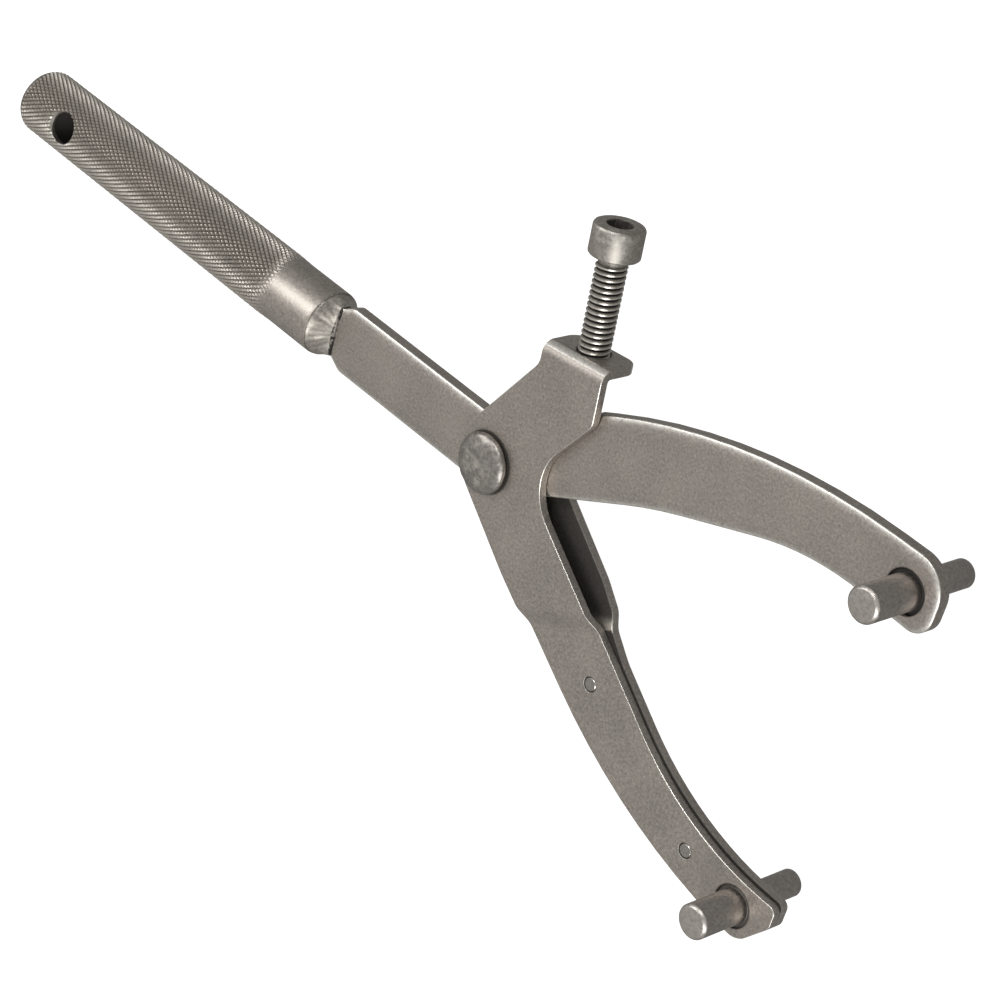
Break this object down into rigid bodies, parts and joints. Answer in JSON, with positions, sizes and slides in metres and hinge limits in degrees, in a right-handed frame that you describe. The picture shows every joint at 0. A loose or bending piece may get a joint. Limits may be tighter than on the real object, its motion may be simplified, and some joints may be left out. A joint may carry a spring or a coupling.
{
  "type": "adjustable pin holding spanner",
  "caption": "Y-shaped holding spanner: knurled tube handle, fixed jaw and a swinging jaw with round pegs, set by a socket screw.",
  "frame": {"origin": "on the fixed peg's axis, where the peg leaves the front face of the bar", "axes": "+Z out of the front face along the pegs' thick ends, +X from the handle towards the jaws along the handle, +Y from the swinging jaw towards the fixed jaw and the screw"},
  "size_m": [0.327, 0.1391, 0.0369],
  "materials": {
    "bare_steel": "satin, tumbled",
    "turned_steel": "satin, turned",
    "screw_steel": "plated, slightly bright",
    "weld_steel": "ground weld"
  },
  "bodies": {
    "handle": {"handle_tube": "bare_steel", "handle_weld": "weld_steel", "main_bar": "bare_steel", "fixed_peg": "turned_steel", "pivot_rivet": "turned_steel"},
    "swing_arm": {"front_plate": "bare_steel", "back_plate": "bare_steel", "neck_rivet": "turned_steel", "tip_rivet": "turned_steel", "swing_peg": "turned_steel"},
    "screw": {"adjusting_screw": "screw_steel"}
  },
  "joints": [
    {"name": "arm_swing", "type": "hinge", "parent": "handle", "child": "swing_arm", "pos_m": [-0.122, -0.0405, -0.002], "axis": [0, 0, 1], "range_deg": [-5, 36]},
    {"name": "screw_feed", "type": "slide", "parent": "swing_arm", "child": "screw", "axis": [-0.1236, 0.9923, 0], "range_m": [-0.0133, 0.0019]}
  ],
  "couplings": [
    {"joint": "screw_feed", "follows": "arm_swing", "m_per_rad": -0.0208}
  ]
}
